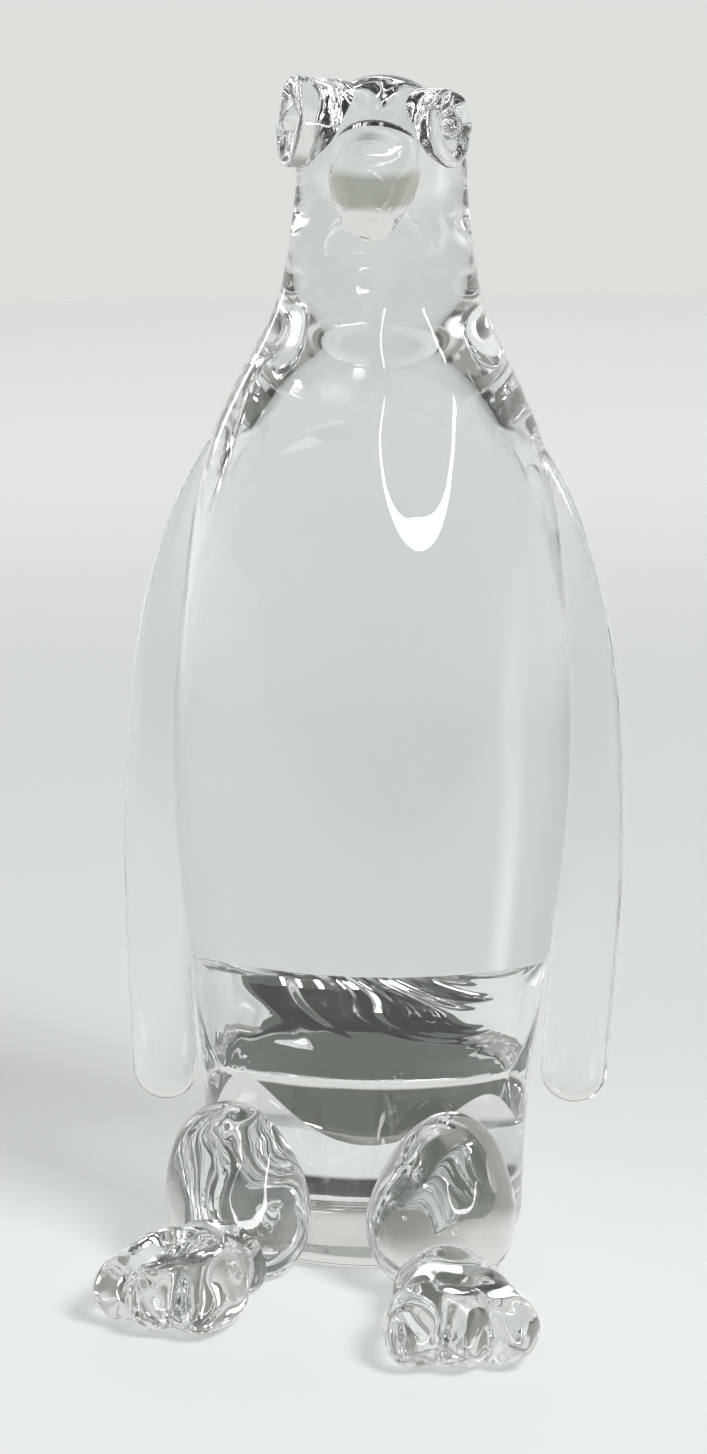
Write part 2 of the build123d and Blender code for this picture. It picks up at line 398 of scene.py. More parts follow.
def turning_tree() -> bpy.types.GeometryNodeTree:
    """Makes the Geometry Nodes tree that turns a half section round the iron, a little out of true.

    Returns:
        The tree. Its profile lies in the XY plane: X is the radius less the hub, Y is the height below zero.
    """
    tree = bpy.data.node_groups.new("turned_gather", "GeometryNodeTree")
    new_sockets(tree, "INPUT", {"Profile": "NodeSocketGeometry", "Segments": "NodeSocketInt",
                                "Hub": "NodeSocketFloat", "Waviness": "NodeSocketFloat",
                                "Wave Size": "NodeSocketFloat", "Seed": "NodeSocketFloat",
                                "Glass": "NodeSocketMaterial"})
    new_sockets(tree, "OUTPUT", {"Gather": "NodeSocketGeometry"})
    w = Wiring(tree)
    given = w.add("NodeGroupInput").outputs
    section = w.add("GeometryNodeMeshToCurve", {0: given["Profile"]})
    hub = w.add("GeometryNodeCurvePrimitiveCircle", {"Resolution": given["Segments"], "Radius": given["Hub"]})
    swept = w.add("GeometryNodeCurveToMesh", {"Curve": hub.outputs[0], "Profile Curve": section.outputs[0]})
    closed = w.add("GeometryNodeMergeByDistance", {"Geometry": swept.outputs[0], "Distance": 2e-6})
    place = w.add("GeometryNodeInputPosition").outputs[0]
    flat = w.add("ShaderNodeVectorMath", {0: place, 1: (1.0, 1.0, 0.0)}, operation="MULTIPLY")
    outward = w.add("ShaderNodeVectorMath", {0: flat.outputs[0]}, operation="NORMALIZE")
    waves = w.add("ShaderNodeTexNoise", {"Vector": place, "W": given["Seed"], "Detail": 0.0,
                                         "Scale": w.math("DIVIDE", 1.0, given["Wave Size"])},
                  noise_dimensions="4D")
    depth = w.math("MULTIPLY", w.math("SUBTRACT", waves.outputs[0], 0.5), given["Waviness"])
    offset = w.add("ShaderNodeVectorMath", {0: outward.outputs[0], "Scale": depth}, operation="SCALE")
    worked = w.add("GeometryNodeSetPosition", {"Geometry": closed.outputs[0], "Offset": offset.outputs[0]})
    smooth = w.add("GeometryNodeSetShadeSmooth", {0: worked.outputs[0]})
    real = w.add("GeometryNodeRealizeInstances", {0: smooth.outputs[0]})
    dressed = w.add("GeometryNodeSetMaterial", {0: real.outputs[0], "Material": given["Glass"]})
    w.add("NodeGroupOutput", {0: dressed.outputs[0]})
    return tree


@contextmanager
def opened(piece: Piece) -> Iterator[Shell]:
    """Opens a piece's mesh for work and writes it back.

    Args:
        piece: The piece.

    Yields:
        Its open mesh.
    """
    shell = bmesh.new()
    shell.from_mesh(piece.data)
    yield shell
    shell.to_mesh(piece.data)
    shell.free()


def plain_mesh(piece: Piece) -> Piece:
    """Turns a piece's evaluated modifiers into its own mesh, with its faces outwards.

    Args:
        piece: The piece with its modifiers.

    Returns:
        The same piece.
    """
    bpy.context.view_layer.update()
    result = bpy.data.meshes.new_from_object(piece.evaluated_get(bpy.context.evaluated_depsgraph_get()))
    piece.modifiers.clear()
    piece.data = result
    with opened(piece) as shell:
        bmesh.ops.recalc_face_normals(shell, faces=shell.faces)
        for face in shell.faces:
            face.smooth = True
    return piece


def new_piece(name: str, points: Sequence[Any], faces: Sequence[Any], edges: Sequence[Any] = ()) -> Piece:
    """Makes a mesh object at the origin.

    Args:
        name: Its name.
        points: Its points, in metres.
        faces: Its faces, by the points' numbers.
        edges: Its loose edges, the same way.

    Returns:
        The object.
    """
    mesh = bpy.data.meshes.new(name)
    mesh.from_pydata([tuple(map(float, p)) for p in points], edges, faces)
    made = bpy.data.objects.new(name, mesh)
    bpy.context.scene.collection.objects.link(made)
    return made


@dataclass
class Turner:
    """Turns gathers of glass from half sections with one shared Geometry Nodes tree."""

    tree: bpy.types.GeometryNodeTree = field(default_factory=turning_tree)
    hub: float = 1.0 * MM

    def turn(self, name: str, section: np.ndarray, segments: int, waviness: float, wave_size: float,
             seed: float) -> Piece:
        """Turns one gather round Z.

        Args:
            name: The piece's name.
            section: Radius and height pairs in metres, from the axis round to the axis again.
            segments: Faces round the axis.
            waviness: How far the surface leaves the true form, in metres.
            wave_size: Size of one wave, in metres.
            seed: Picks the waves.

        Returns:
            The piece as a plain mesh.
        """
        points = [(radius - self.hub, -height, 0.0) for radius, height in section]
        edges = [(k, k + 1) for k in range(len(points) - 1)]
        made = new_piece(name, points, [], edges)
        modifier = made.modifiers.new("turning", "NODES")
        modifier.node_group = self.tree
        values = {"Segments": segments, "Hub": self.hub, "Waviness": waviness, "Wave Size": wave_size,
                  "Seed": seed}
        for item in self.tree.interface.items_tree:
            if item.name in values:
                modifier[item.identifier] = values[item.name]
        return plain_mesh(made)


def oval(radius: float, up: float, down: float, rows: int = 48) -> np.ndarray:
    """An egg's half section, with its girth at height 0.

    Args:
        radius: The girth's radius.
        up: Height of the upper pole.
        down: Depth of the lower pole.
        rows: Points from the girth to a pole.

    Returns:
        Radius and height pairs, from the lower pole to the upper one.
    """
    turn = np.linspace(-np.pi / 2, np.pi / 2, 2 * rows + 1)
    height = np.where(turn > 0, up, down) * np.sin(turn)
    section = np.stack([radius * np.cos(turn), height], axis=1)
    section[0, 0] = section[-1, 0] = 0.0
    return section


def rounded(corners: Sequence[Spot], steps: int = 8, gap: float = 0.4 * MM) -> np.ndarray:
    """A half section through corners, each rounded.

    Args:
        corners: Radius, height and rounding of each corner, in metres. A rounding of 0 keeps it sharp.
        steps: Points in each rounding.
        gap: Longest stretch between points.

    Returns:
        Radius and height pairs.
    """
    points = [np.array(c[:2]) for c in corners]
    line: list[np.ndarray] = []
    for k, (corner, rounding) in enumerate(zip(points, (c[2] for c in corners))):
        if rounding == 0.0 or k in (0, len(points) - 1):
            line.append(corner)
            continue
        before, after = points[k - 1] - corner, points[k + 1] - corner
        reach = min(rounding, 0.49 * np.linalg.norm(before), 0.49 * np.linalg.norm(after))
        start = corner + before / np.linalg.norm(before) * reach
        end = corner + after / np.linalg.norm(after) * reach
        for t in np.linspace(0.0, 1.0, steps):
            line.append((1 - t) ** 2 * start + 2 * t * (1 - t) * corner + t ** 2 * end)
    filled = [line[0]]
    for point in line[1:]:
        count = max(1, int(np.ceil(np.linalg.norm(point - filled[-1]) / gap)))
        filled += [filled[-1] + (point - filled[-1]) * t for t in np.linspace(0, 1, count + 1)[1:]]
    return np.array(filled)


def place(piece: Piece, matrix: Matrix, side: Side = Side.LEFT) -> Piece:
    """Moves a piece's mesh to its place.

    Args:
        piece: The piece.
        matrix: Its place on the left side.
        side: The side it goes to. The right one is mirrored.

    Returns:
        The piece.
    """
    mirror = Matrix.Diagonal((side.value, 1.0, 1.0, 1.0))
    piece.data.transform(mirror @ matrix)
    if side is Side.RIGHT:
        piece.data.flip_normals()
    return piece


def smooth_path(knots: np.ndarray, steps: int) -> np.ndarray:
    """A smooth line through knots.

    Args:
        knots: One row for each knot.
        steps: Points between two knots.

    Returns:
        The line's points, the knots among them.
    """
    ends = np.concatenate([[2 * knots[0] - knots[1]], knots, [2 * knots[-1] - knots[-2]]])
    line = []
    for k in range(1, len(ends) - 2):
        a, b, c, d = ends[k - 1:k + 3]
        for t in np.arange(steps) / steps:
            line.append(0.5 * (2 * b + (c - a) * t + (2 * a - 5 * b + 4 * c - d) * t ** 2
                               + (3 * b - a - 3 * c + d) * t ** 3))
    return np.array([*line, knots[-1]])


def turn_about(axis: str, degrees: float) -> Matrix:
    """A 4x4 turn about X, Y or Z."""
    return Matrix.Rotation(math.radians(degrees), 4, axis)


def settle(piece: Piece, softness: float) -> None:
    """Flattens what of a piece lies below the table, with a soft edge.

    Args:
        piece: The piece, in place.
        softness: Height over which the side turns into the flat, in metres.
    """
    points = vertices(piece)
    points[:, 2] = 0.5 * (points[:, 2] + np.sqrt(points[:, 2] ** 2 + softness ** 2))
    points[:, 2] -= min(points[:, 2].min(), softness)
    put_vertices(piece, points)


def vertices(piece: Piece) -> np.ndarray:
    """Reads a piece's points.

    Args:
        piece: The piece.

    Returns:
        One row for each point.
    """
    points = np.zeros(len(piece.data.vertices) * 3, np.float32)
    piece.data.vertices.foreach_get("co", points)
    return points.reshape(-1, 3).astype(float)


def put_vertices(piece: Piece, points: np.ndarray) -> None:
    """Writes a piece's points back."""
    piece.data.vertices.foreach_set("co", points.astype(np.float32).ravel())
    piece.data.update()


def knead(piece: Piece, *waves: Pair, floor: float = 0.0) -> Piece:
    """Presses soft lumps into a piece along its normals.

    Args:
        piece: The piece, in place.
        waves: Depth and size of each kind of lump, in metres.
        floor: Height below which nothing moves, so that the piece stands flat.

    Returns:
        The piece.
    """
    points = vertices(piece)
    for k, spot in enumerate(points):
        lift = min(max((spot[2] - floor) / MM, 0.0), 1.0)
        normal = np.array(piece.data.vertices[k].normal)
        depth = sum(deep * noise.noise(Vector(spot / size) + LUMP_SEED) for deep, size in waves)
        points[k] = spot + normal * depth * lift
    put_vertices(piece, points)
    return piece


def tree_of(piece: Piece) -> BVHTree:
    """Makes a search tree over a piece's faces.

    Args:
        piece: The piece.

    Returns:
        The tree.
    """
    shell = bmesh.new()
    shell.from_mesh(piece.data)
    tree = BVHTree.FromBMesh(shell)
    shell.free()
    return tree


def depth_in(tree: BVHTree, point: Vector) -> float:
    """Signed distance from a point to a closed piece, below zero inside it."""
    spot, normal, _, distance = tree.find_nearest(point)
    return math.copysign(distance, (point - spot).dot(normal))


def sharpen_seams(shell: Shell) -> None:
    """Makes the edges round seams sharp.

    Args:
        shell: The open mesh.
    """
    for edge in shell.edges:
        if len({f.material_index for f in edge.link_faces}) > 1:
            edge.smooth = False


@dataclass
class Fusing:
    """Cuts bits back to their seats, and marks the seams on both sides."""

    near: float = 0.004 * MM
    seam: Material = field(default_factory=lambda: SeamFinish().material())

    def seat(self, bit: Piece, carrier: Piece) -> None:
        """Cuts a bit back to what carries it and marks the cut faces as seam.

        Args:
            bit: The bit, in place and running into its carrier.
            carrier: The piece that it is fused to.
        """
        cut = bit.modifiers.new("seat", "BOOLEAN")
        cut.operation, cut.solver, cut.object = "DIFFERENCE", "MANIFOLD", carrier
        plain_mesh(bit)
        tree = tree_of(carrier)
        with opened(bit) as shell:
            on_seat = {v: abs(depth_in(tree, v.co)) < self.near for v in shell.verts}
            for face in shell.faces:
                if all(on_seat[v] for v in face.verts):
                    face.material_index = 1
            sharpen_seams(shell)

    def imprint(self, carrier: Piece, raw: Piece) -> None:
        """Splits a carrier's faces along the outline of a bit and marks those inside it as seam.

        Args:
            carrier: The piece that the bit sits on.
            raw: The bit before it was cut back.
        """
        tree = tree_of(raw)
        points = vertices(raw)
        low, high = points.min(0) - MM, points.max(0) + MM
        depth: dict[bmesh.types.BMVert, float] = {}
        with opened(carrier) as shell:
            for v in shell.verts:
                if all(low[k] < v.co[k] < high[k] for k in range(3)):
                    inside = depth_in(tree, v.co)
                    depth[v] = 0.0 if abs(inside) < self.near else inside
            for edge in list(shell.edges):
                a, b = edge.verts
                if depth.get(a, 1.0) * depth.get(b, 1.0) < 0.0 and a in depth and b in depth:
                    share = depth[a] / (depth[a] - depth[b])
                    depth[bmesh.utils.edge_split(edge, a, share)[1]] = 0.0
            touched = {f for v, d in depth.items() if d == 0.0 for f in v.link_faces}
            for face in touched:
                rim = [v for v in face.verts if depth.get(v) == 0.0]
                signs = {depth[v] > 0 for v in face.verts if depth.get(v)}
                if len(rim) == 2 and len(signs) == 2 and not shell.edges.get(rim):
                    bmesh.utils.face_split(face, *rim)
            for face in shell.faces:
                if all(depth.get(v, 1.0) <= 0.0 for v in face.verts):
                    face.material_index = 1

    def join(self, bit: Piece, carrier: Piece) -> None:
        """Fuses a bit to its carrier.

        Args:
            bit: The bit, in place and running into its carrier.
            carrier: The piece that it is fused to.
        """
        raw = bit.copy()
        raw.data = bit.data.copy()
        self.seat(bit, carrier)
        self.imprint(carrier, raw)
        bpy.data.meshes.remove(raw.data)


def dress(piece: Piece, node: str, glass: Material, seam: Material) -> None:
    """Gives a piece its glass and lets it stand for its CAD node.

    Args:
        piece: The finished piece.
        node: The CAD node's name.
        glass: The material of its outside.
        seam: The material of its seats.
    """
    marks = [face.material_index for face in piece.data.polygons]
    piece.data.materials.clear()
    piece.data.materials.append(glass)
    piece.data.materials.append(seam)
    piece.data.polygons.foreach_set("material_index", marks)
    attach(piece, "root")
    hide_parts(node)
    LOG.info("%s: %d faces", piece.name, len(piece.data.polygons))


@dataclass
class Gathers:
    """The body and the head, turned in one line with a soft crease at the neck. Metres.

    Heights of the back's hollow and of the shears' marks are above the neck.
    """

    neck_height: float = NECK_HEIGHT
    cad_groove: float = 1.3 * MM
    crease_depth: float = 0.12 * MM
    crease_width: float = 2.6 * MM
    knot_gap: float = 0.25 * MM
    row: float = 0.45 * MM
    softening: float = 0.8 * MM
    neck_softening: float = 3.4 * MM
    neck_reach: float = 9.0 * MM
    segments: int = 240
    waves: float = 0.16 * MM
    wave_size: float = 24.0 * MM
    seed: float = 3.1
    worked_radius: float = 9.0 * MM
    back_fill: float = 1.2 * MM
    fill_reach: Pair = (9.0 * MM, 8.0 * MM)
    hollow_share: float = 0.4
    hollow_height: float = -21.0 * MM
    hollow_reach: float = 11.0 * MM
    mark_depth: float = 0.35 * MM
    mark_pitch: float = 1.9 * MM
    mark_sway: Pair = (1.5 * MM, 3.5 * MM)
    mark_heights: Pair = (14.0 * MM, 18.0 * MM)
    mark_middle: float = 0.5 * MM
    mark_reach: float = 3.0 * MM
    line: np.ndarray = field(default_factory=lambda: np.zeros((0, 2)))

    def side_line(self) -> np.ndarray:
        """Reads the side of the CAD body and head, from the base's edge to the crown.

        Returns:
            Radius and height pairs at even steps, smooth, with the crease at the neck.
        """
        found: dict[float, float] = {}
        for node in ("body", "head"):
            for x, y, z in vertices(frame["nodes"][node]):
                height = round(z, 6)
                found[height] = max(found.get(height, 0.0), math.hypot(x, y))
        clear = [z for z in sorted(found) if abs(z - self.neck_height) > self.cad_groove]
        knots = np.array([(found[z], z) for z in clear])
        keep = [0]
        for k in range(1, len(knots)):
            if np.linalg.norm(knots[k] - knots[keep[-1]]) > self.knot_gap or k == len(knots) - 1:
                keep.append(k)
        knots = knots[keep]
        along = np.concatenate([[0.0], np.cumsum(np.linalg.norm(np.diff(knots, axis=0), axis=1))])
        even = np.linspace(0.0, along[-1], int(along[-1] / self.row))
        line = np.stack([np.interp(even, along, knots[:, k]) for k in (0, 1)], axis=1)
        near_neck = np.exp(-((line[:, 1:] - self.neck_height) / self.neck_reach) ** 2)
        plain, neck = (self.softened(line, width) for width in (self.softening, self.neck_softening))
        line = (1.0 - near_neck) * plain + near_neck * neck
        line[:, 0] -= self.crease_depth * np.exp(-((line[:, 1] - self.neck_height) / self.crease_width) ** 2)
        return line

    def softened(self, line: np.ndarray, width: float) -> np.ndarray:
        """Evens out a side line.

        Args:
            line: Radius and height pairs at even steps, up to the axis.
            width: How far each point takes its neighbours in.

        Returns:
            The soft line with the same ends.
        """
        reach = int(4 * width / self.row)
        weights = np.exp(-0.5 * (np.arange(-reach, reach + 1) * self.row / width) ** 2)
        after = line[-2:-reach - 2:-1] * (-1.0, 1.0)
        padded = np.concatenate([2 * line[0] - line[reach:0:-1], line, after])
        soft = np.stack([np.convolve(padded[:, k], weights / weights.sum(), "valid") for k in (0, 1)], axis=1)
        soft[0], soft[-1] = line[0], line[-1]
        return soft

    def radius_at(self, height: float) -> float:
        """The body's radius at a height."""
        return float(np.interp(height, self.line[:, 1], self.line[:, 0]))

    def build(self, turner: Turner) -> dict[str, Piece]:
        """Turns both gathers.

        Args:
            turner: What turns them.

        Returns:
            The gathers by node.
        """
        self.line = self.side_line()
        neck = (self.radius_at(self.neck_height), self.neck_height)
        low = self.line[self.line[:, 1] < self.neck_height - 0.5 * self.row]
        high = self.line[self.line[:, 1] > self.neck_height + 0.5 * self.row]
        high[-1, 0] = 0.0
        inner = [(share * low[0, 0], 0.0) for share in (0.0, 0.5, 0.9)]
        body = np.array([*inner, *low, neck, (0.0, self.neck_height)])
        head = np.array([(0.0, self.neck_height), neck, *high])
        made = {
            name: turner.turn(f"{name}_gather", section, self.segments, self.waves, self.wave_size, self.seed)
            for name, section in (("body", body), ("head", head))
        }
        for piece in made.values():
            self.work_back(piece)
            self.mark_neck(piece)
        return made

    def work_back(self, piece: Piece) -> None:
        """Evens the slope of the back between neck and shoulder, and draws the shears' marks on the crown.

        Args:
            piece: The body or the head, still round.
        """
        points = vertices(piece)
        x, y, z = points.T
        radius, above = np.hypot(x, y), z - self.neck_height
        share = np.clip(y / np.maximum(radius, 0.1 * MM), 0.0, 1.0)
        behind = share ** 2 * (3.0 - 2.0 * share) * np.minimum(radius / self.worked_radius, 1.0)
        fill = np.exp(-(above / np.where(above > 0, *self.fill_reach)) ** 2)
        fill -= self.hollow_share * np.exp(-((above - self.hollow_height) / self.hollow_reach) ** 2)
        (sway, period), (start, end) = self.mark_sway, self.mark_heights
        marks = np.cos(2 * np.pi * (x + sway * np.sin(z / period)) / self.mark_pitch)
        marks *= np.clip((above - start) / (end - start), 0.0, 1.0)
        marks *= np.exp(-((x - self.mark_middle) / self.mark_reach) ** 2)
        grow = 1.0 + behind * (self.back_fill * fill + self.mark_depth * marks) / np.maximum(radius, MM)
        points[:, :2] *= grow[:, None]
        put_vertices(piece, points)

    def mark_neck(self, piece: Piece) -> None:
        """Marks the flat seat at the neck as seam.

        Args:
            piece: The body or the head.
        """
        with opened(piece) as shell:
            for face in shell.faces:
                if all(abs(v.co.z - self.neck_height) < 1e-6 for v in face.verts):
                    face.material_index = 1
            sharpen_seams(shell)


@dataclass
class Face:
    """The beak, the eyes and their beads, on the head. Metres and degrees."""

    neck_height: float = NECK_HEIGHT
    head_radius: float = 10.6 * MM
    bury: float = 4.0 * MM
    beak_above_neck: float = 16.0 * MM
    beak_drop: float = 32.0
    beak_turn: float = 4.0
    beak_radius: float = 5.6 * MM
    beak_length: float = 9.0 * MM
    beak_tip: float = 2.9 * MM
    beak_straight: float = 1.8 * MM
    beak_roundings: Spot = (4.0 * MM, 1.3 * MM, 0.6 * MM)
    shear_share: float = 0.45
    shear_lip: float = 0.1 * MM
    shear_depth: float = 0.45 * MM
    eye_above_neck: float = 20.0 * MM
    eye_turn: float = 24.0
    eye_tilt: float = 8.0
    eye_radius: dict[Side, float] = both(4.9 * MM, 5.6 * MM)
    eye_out: dict[Side, float] = both(10.3 * MM, 12.2 * MM)
    eye_rounding: float = 1.6 * MM
    eye_rim: float = 0.72
    eye_floor: float = 0.5
    eye_dish: float = 0.55 * MM
    dish_rounding: float = 0.8 * MM
    lumps: tuple[Pair, ...] = ((0.35 * MM, 3.0 * MM),)
    bead_radius: float = 1.5 * MM
    bead_sink: float = 0.5 * MM

    def beak(self, turner: Turner) -> Piece:
        """Makes the beak, a blunt cone with a sheared tip.

        Args:
            turner: What turns it.

        Returns:
            The beak before it is cut back to the head.
        """
        cheek, tip, shear = self.beak_roundings
        section = rounded([
            (0.0, -self.bury, 0.0), (self.beak_radius, -self.bury, 0.0),
            (self.beak_radius, self.beak_straight, cheek), (self.beak_tip, self.beak_length, tip),
            (self.shear_share * self.beak_tip, self.beak_length - self.shear_lip, shear),
            (0.0, self.beak_length - self.shear_depth, 0.0)])
        made = turner.turn("beak_bit", section, segments=96, waviness=0.35 * MM, wave_size=5.0 * MM, seed=1.3)
        spot = Matrix.Translation((0.0, 0.0, self.neck_height + self.beak_above_neck))
        lean = turn_about("Z", self.beak_turn) @ Matrix.Translation((0.0, -self.head_radius, 0.0))
        return place(made, spot @ lean @ turn_about("X", 90.0 + self.beak_drop))

    def eye_frame(self, side: Side) -> Matrix:
        """Finds the frame in the middle of an eye's outer face.

        Args:
            side: The eye's side.

        Returns:
            The frame with +Z out of the head, before it is mirrored.
        """
        spot = Matrix.Translation((0.0, 0.0, self.neck_height + self.eye_above_neck))
        aim = turn_about("Z", -self.eye_turn) @ turn_about("Y", 90.0 - self.eye_tilt)
        return spot @ aim @ Matrix.Translation((0.0, 0.0, self.eye_out[side]))

    def eye(self, turner: Turner, side: Side) -> Piece:
        """Makes one eye, a pressed button with a shallow dish.

        Args:
            turner: What turns it.
            side: The eye's side.

        Returns:
            The eye before it is cut back to the head.
        """
        depth, radius = self.eye_out[side] - self.bury, self.eye_radius[side]
        section = rounded([
            (0.0, -depth, 0.0), (radius, -depth, 0.0), (radius, 0.0, self.eye_rounding),
            (self.eye_rim * radius, 0.0, self.dish_rounding),
            (self.eye_floor * radius, -self.eye_dish, self.dish_rounding), (0.0, -self.eye_dish, 0.0)])
        made = turner.turn(f"{side.name.lower()}_eye_bit", section, segments=96, waviness=0.25 * MM,
                           wave_size=4.0 * MM, seed=2.0 + side.value)
        return knead(place(made, self.eye_frame(side), side), *self.lumps)

    def bead(self, turner: Turner, side: Side) -> Piece:
        """Makes the bead in the middle of one eye.

        Args:
            turner: What turns it.
            side: The eye's side.

        Returns:
            The bead before it is cut back to the eye.
        """
        ball = oval(*[self.bead_radius] * 3, rows=20)
        made = turner.turn(f"{side.name.lower()}_pupil_bit", ball, segments=48, waviness=0.0, wave_size=MM,
                           seed=0.0)
        return place(made, self.eye_frame(side) @ Matrix.Translation((0.0, 0.0, -self.bead_sink)), side)


@dataclass
class Flipper:
    """One flat blade down the side of the body, free at its tip. Metres."""

    side: Side
    tip_height: float
    set_back: float = 1.0 * MM
    thickness: float = 3.0 * MM
    tip_inside: float = 22.7 * MM
    tip_width: float = 8.6 * MM
    crotch: Pair = (23.75 * MM, 42.5 * MM)
    belly_edge: Pair = (32.4 * MM, 59.0 * MM)
    chest_edge: Pair = (28.4 * MM, 88.0 * MM)
    top: Pair = (17.0 * MM, 108.5 * MM)
    tip_lean: float = 0.052
    top_lean: float = -1.0
    bury: float = 2.0 * MM
    bury_run: float = 6.0 * MM
    least_half: float = 0.2 * MM
    squareness: float = 2.7
    tip_fullness: float = 0.6
    tip_rows: int = 26
    rows: int = 170
    round_count: int = 56

    def outer_edge(self, height: float) -> float:
        """Finds the blade's outer edge, a smooth line through four knots.

        Args:
            height: A height.

        Returns:
            The edge's place along X at that height, on the left side.
        """
        knots = [(self.tip_inside + self.tip_width, self.tip_height + self.tip_width / 2), self.belly_edge,
                 self.chest_edge, self.top]
        leans = [self.tip_lean, *[(knots[k + 1][0] - knots[k - 1][0]) / (knots[k + 1][1] - knots[k - 1][1])
                                  for k in (1, 2)], self.top_lean]
        k = max(i for i in range(3) if height >= knots[i][1] or i == 0)
        span = knots[k + 1][1] - knots[k][1]
        t = min(max((height - knots[k][1]) / span, 0.0), 1.0)
        return ((1 + 2 * t) * (1 - t) ** 2 * knots[k][0] + t * (1 - t) ** 2 * span * leans[k]
                + t * t * (3 - 2 * t) * knots[k + 1][0] + t * t * (t - 1) * span * leans[k + 1])

    def build(self, gathers: Gathers) -> Piece:
        """Lofts the blade.

        Args:
            gathers: The body that it lies on.

        Returns:
            The blade before it is cut back to the body.
        """
        tip_half = self.tip_width / 2
        girth = self.tip_height + tip_half
        bend = np.linspace(0.0, np.pi / 2, self.tip_rows)
        heights = [*(girth - tip_half * np.cos(bend[1:])), *np.linspace(girth, self.top[1], self.rows)[1:]]
        around = np.linspace(0.0, 2 * np.pi, self.round_count, endpoint=False)
        points: list[Spot] = [(self.tip_inside + tip_half, self.set_back, self.tip_height)]
        for height in heights:
            if height <= girth:
                fall = math.sqrt(max(0.0, 1.0 - ((girth - height) / tip_half) ** 2))
                middle, half = self.tip_inside + tip_half, tip_half * fall
                thick = self.thickness / 2 * fall ** self.tip_fullness
            else:
                outside, thick = self.outer_edge(height), self.thickness / 2
                share = min(1.0, (height - girth) / (self.crotch[1] - girth))
                inside = (1 - share) * self.tip_inside + share * self.crotch[0]
                if height > self.crotch[1]:
                    buried = min(1.0, (height - self.crotch[1]) / self.bury_run) * self.bury
                    inside = min(gathers.radius_at(height), outside) - buried
                middle, half = (inside + outside) / 2, max((outside - inside) / 2, self.least_half)
            for angle in around:
                turned = (math.cos(angle), math.sin(angle))
                across, deep = (math.copysign(abs(v) ** (2 / self.squareness), v) for v in turned)
                points.append((middle + half * across, self.set_back + thick * deep, height))
        n = self.round_count
        faces: list[tuple[int, ...]] = [(0, 1 + (j + 1) % n, 1 + j) for j in range(n)]
        for k in range(len(heights) - 1):
            low, high = 1 + k * n, 1 + (k + 1) * n
            faces += [(low + j, low + (j + 1) % n, high + (j + 1) % n, high + j) for j in range(n)]
        faces.append(tuple(1 + (len(heights) - 1) * n + j for j in range(n)))
        made = new_piece(f"{self.side.name.lower()}_flipper_bit", points, faces)
        return plain_mesh(place(made, Matrix.Identity(4), self.side))


@dataclass
class Leg:
    """A teardrop that stands in front of the body and leans back on it. Metres and degrees."""

    side: Side
    splay: float
    angle: float = 33.0
    out: float = 23.7 * MM
    middle: float = 7.0 * MM
    radius: float = 9.4 * MM
    up: float = 14.5 * MM
    lean: float = 12.0
    softness: float = 0.7 * MM
    lumps: tuple[Pair, ...] = ((1.1 * MM, 11.0 * MM), (0.05 * MM, 4.5 * MM))

    def spot(self) -> Vector:
        """The left leg's middle."""
        return turn_about("Z", self.angle) @ Vector((0.0, -self.out, self.middle))

    def build(self, turner: Turner) -> Piece:
        """Turns the teardrop and leans it.

        Args:
            turner: What turns it.

        Returns:
            The leg before it is cut back to the body.
        """
        drop = oval(self.radius, self.up, self.radius)
        made = turner.turn(f"{self.side.name.lower()}_leg_bit", drop, segments=128, waviness=0.5 * MM,
                           wave_size=8.0 * MM, seed=5.0 + 2.0 * self.side.value)
        leaning = turn_about("X", -self.lean) @ turn_about("Y", self.splay)
        place(made, Matrix.Translation(self.spot()) @ leaning, self.side)
        settle(made, self.softness)
        return knead(made, *self.lumps, floor=STANDING)


